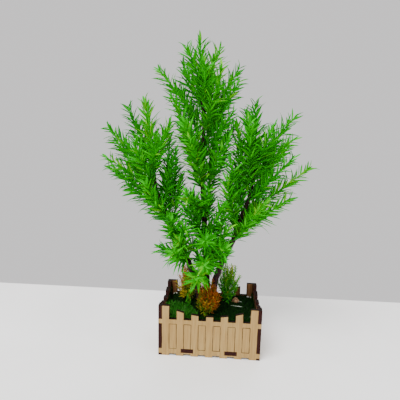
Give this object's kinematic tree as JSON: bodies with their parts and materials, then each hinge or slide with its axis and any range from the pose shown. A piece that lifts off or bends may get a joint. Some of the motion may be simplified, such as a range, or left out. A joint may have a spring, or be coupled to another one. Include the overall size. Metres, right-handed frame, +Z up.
{
  "type": "artificial tabletop tree in a picket-fence planter",
  "caption": "Artificial tree with three needle-leaf stems fanning out of a turf-topped, laser-cut wooden picket-fence planter box with small bushes round its foot.",
  "frame": {"origin": "centre of the planter's outline, in the plane that the feet of its fence panels stand on", "axes": "+Z up, +X to the right and +Y to the back as seen from the front, the side with the low middle pickets and the orange bush"},
  "size_m": [0.1704, 0.0644, 0.255],
  "materials": {
    "plywood": "laser-cut plywood, pale faces and charred edges",
    "plaster": "cast plaster",
    "turf": "dark glossy artificial turf",
    "grass": "artificial grass",
    "bark": "dry bark",
    "orange_plant": "moulded plastic plant",
    "amber_plant": "moulded plastic plant",
    "green_plant": "moulded plastic plant",
    "yellow_plant": "moulded plastic plant",
    "stem_bark": "dark brown wrapped wire stem",
    "leaf_green": "satin moulded plastic leaves"
  },
  "bodies": {
    "planter": {"front_fence": "plywood", "front_slats": "plywood", "rear_fence": "plywood", "rear_slats": "plywood", "left_fence": "plywood", "left_slats": "plywood", "right_fence": "plywood", "right_slats": "plywood", "floor_panel": "plywood", "plaster_fill": "plaster", "turf_mat": "turf", "grass_patch": "grass", "bark_chip": "bark", "orange_bush": "orange_plant", "amber_bush": "amber_plant", "green_bush": "green_plant", "yellow_sprig": "yellow_plant", "left_stem_foot": "stem_bark", "centre_stem_foot": "stem_bark", "right_stem_foot": "stem_bark"},
    "left_tree": {"left_stem": "stem_bark", "left_sprigs_7": "leaf_green", "left_sprigs_6": "leaf_green", "left_sprigs_5": "leaf_green", "left_sprigs_4": "leaf_green", "left_sprigs_3": "leaf_green"},
    "centre_tree": {"centre_stem": "stem_bark", "centre_sprigs_7": "leaf_green", "centre_sprigs_6": "leaf_green", "centre_sprigs_5": "leaf_green", "centre_sprigs_4": "leaf_green", "centre_sprigs_3": "leaf_green", "centre_sprigs_2": "leaf_green", "centre_sprigs_1": "leaf_green"},
    "right_tree": {"right_stem": "stem_bark", "right_sprigs_6": "leaf_green", "right_sprigs_5": "leaf_green", "right_sprigs_4": "leaf_green", "right_sprigs_3": "leaf_green"}
  },
  "joints": [
    {"name": "left_stem_bend", "type": "hinge", "parent": "planter", "child": "left_tree", "pos_m": [-0.009, -0.001, 0.0345], "axis": [0, -1, 0], "range_deg": [0, 12]},
    {"name": "centre_stem_bend", "type": "hinge", "parent": "planter", "child": "centre_tree", "pos_m": [-0.004, 0.006, 0.0345], "axis": [1, 0, 0], "range_deg": [-5, 8]},
    {"name": "right_stem_bend", "type": "hinge", "parent": "planter", "child": "right_tree", "pos_m": [0.001, -0.001, 0.0345], "axis": [0, 1, 0], "range_deg": [0, 12]}
  ]
}
